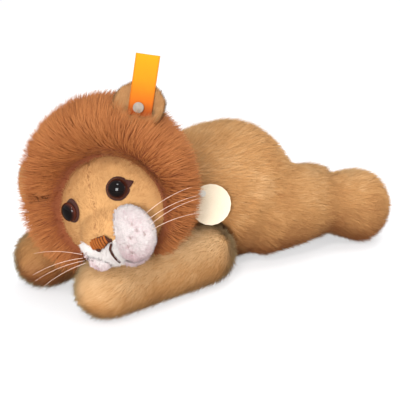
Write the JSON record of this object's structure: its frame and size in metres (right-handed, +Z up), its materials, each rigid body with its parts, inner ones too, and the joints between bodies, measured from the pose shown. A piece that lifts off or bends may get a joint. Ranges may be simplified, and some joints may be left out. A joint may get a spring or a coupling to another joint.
{
  "type": "plush lion",
  "caption": "Plush lion lying on its belly with its head on its forelegs, with a thick mane, cupped ears, domed eyes, a white muzzle, whiskers, an ear ribbon and a hang tag.",
  "frame": {"origin": "on the flat resting face of the belly, under the middle of the back", "axes": "+Z up, the head towards -X, the lion's left side towards -Y and the hind legs towards +X"},
  "size_m": [0.3054, 0.2024, 0.1747],
  "materials": {
    "body_pile": "tan plush pile",
    "face_pile": "short tan pile",
    "mane_pile": "long red-brown pile",
    "ear_pile": "short olive-tan pile",
    "muzzle_pile": "short white pile",
    "stuffing": "polyester fibre filling",
    "stitching": "satin-stitched embroidery thread",
    "felt": "brown felt",
    "eye": "polished black-brown",
    "whisker": "translucent nylon thread",
    "ribbon": "woven yellow ribbon",
    "metal": "nickel-plated",
    "plastic": "clear to white nylon",
    "card": "coated card"
  },
  "bodies": {
    "torso": {"torso_cover": "body_pile", "torso_stuffing": "stuffing", "tag_fastener": "plastic"},
    "head": {"head_cover": "face_pile", "head_stuffing": "stuffing", "mane": "mane_pile", "left_eye": "eye", "left_eye_rim": "felt", "left_eye_washer": "plastic", "right_eye": "eye", "right_eye_rim": "felt", "right_eye_washer": "plastic", "left_muzzle_pad": "muzzle_pile", "right_muzzle_pad": "muzzle_pile", "chin": "muzzle_pile", "nose": "stitching", "mouth_stitch": "stitching", "left_whisker_1": "whisker", "left_whisker_2": "whisker", "left_whisker_3": "whisker", "left_whisker_4": "whisker", "right_whisker_1": "whisker", "right_whisker_2": "whisker", "right_whisker_3": "whisker", "right_whisker_4": "whisker", "left_ear": "ear_pile", "right_ear": "ear_pile", "ear_rivet": "metal", "rivet_washer": "metal"},
    "hang_tag": {"hang_tag": "card"},
    "left_foreleg": {"left_foreleg_cover": "body_pile", "left_foreleg_stuffing": "stuffing"},
    "right_foreleg": {"right_foreleg_cover": "body_pile", "right_foreleg_stuffing": "stuffing"},
    "left_hind_leg": {"left_hind_leg_cover": "body_pile", "left_hind_leg_stuffing": "stuffing"},
    "right_hind_leg": {"right_hind_leg_cover": "body_pile", "right_hind_leg_stuffing": "stuffing"},
    "tail": {"tail": "body_pile", "tail_tuft": "mane_pile"},
    "ear_ribbon": {"ear_ribbon": "ribbon"}
  },
  "joints": [
    {"name": "head_lift", "type": "hinge", "parent": "torso", "child": "head", "pos_m": [-0.0582, -0.0204, 0.064], "axis": [-0.5299, 0.848, 0], "range_deg": [0, 12]},
    {"name": "left_foreleg_swing", "type": "hinge", "parent": "torso", "child": "left_foreleg", "pos_m": [-0.02475, -0.04182, 0], "axis": [0, 0, 1], "range_deg": [0, 15], "stiffness_Nm_per_rad": 0.05},
    {"name": "right_foreleg_swing", "type": "hinge", "parent": "torso", "child": "right_foreleg", "pos_m": [-0.0375, 0.04182, 0], "axis": [0, 0, -1], "range_deg": [0, 15], "stiffness_Nm_per_rad": 0.05},
    {"name": "left_hind_leg_swing", "type": "hinge", "parent": "torso", "child": "left_hind_leg", "pos_m": [0.0375, -0.02652, 0], "axis": [0, 0, -1], "range_deg": [0, 12], "stiffness_Nm_per_rad": 0.05},
    {"name": "right_hind_leg_swing", "type": "hinge", "parent": "torso", "child": "right_hind_leg", "pos_m": [0.0255, 0.02652, 0], "axis": [0, 0, 1], "range_deg": [0, 12], "stiffness_Nm_per_rad": 0.05},
    {"name": "tail_lift", "type": "hinge", "parent": "torso", "child": "tail", "pos_m": [0.06, 0.0102, 0.05304], "axis": [1, 0, 0], "range_deg": [0, 15]},
    {"name": "ear_ribbon_turn", "type": "hinge", "parent": "head", "child": "ear_ribbon", "pos_m": [-0.08638, -0.05542, 0.14165], "axis": [-0.5383, -0.7635, 0.3568], "range_deg": [-8, 8]},
    {"name": "hang_tag_swing", "type": "hinge", "parent": "torso", "child": "hang_tag", "pos_m": [-0.0298, -0.0446, 0.06961], "axis": [-0.3345, -0.9192, 0.2079], "range_deg": [0, 20]}
  ]
}
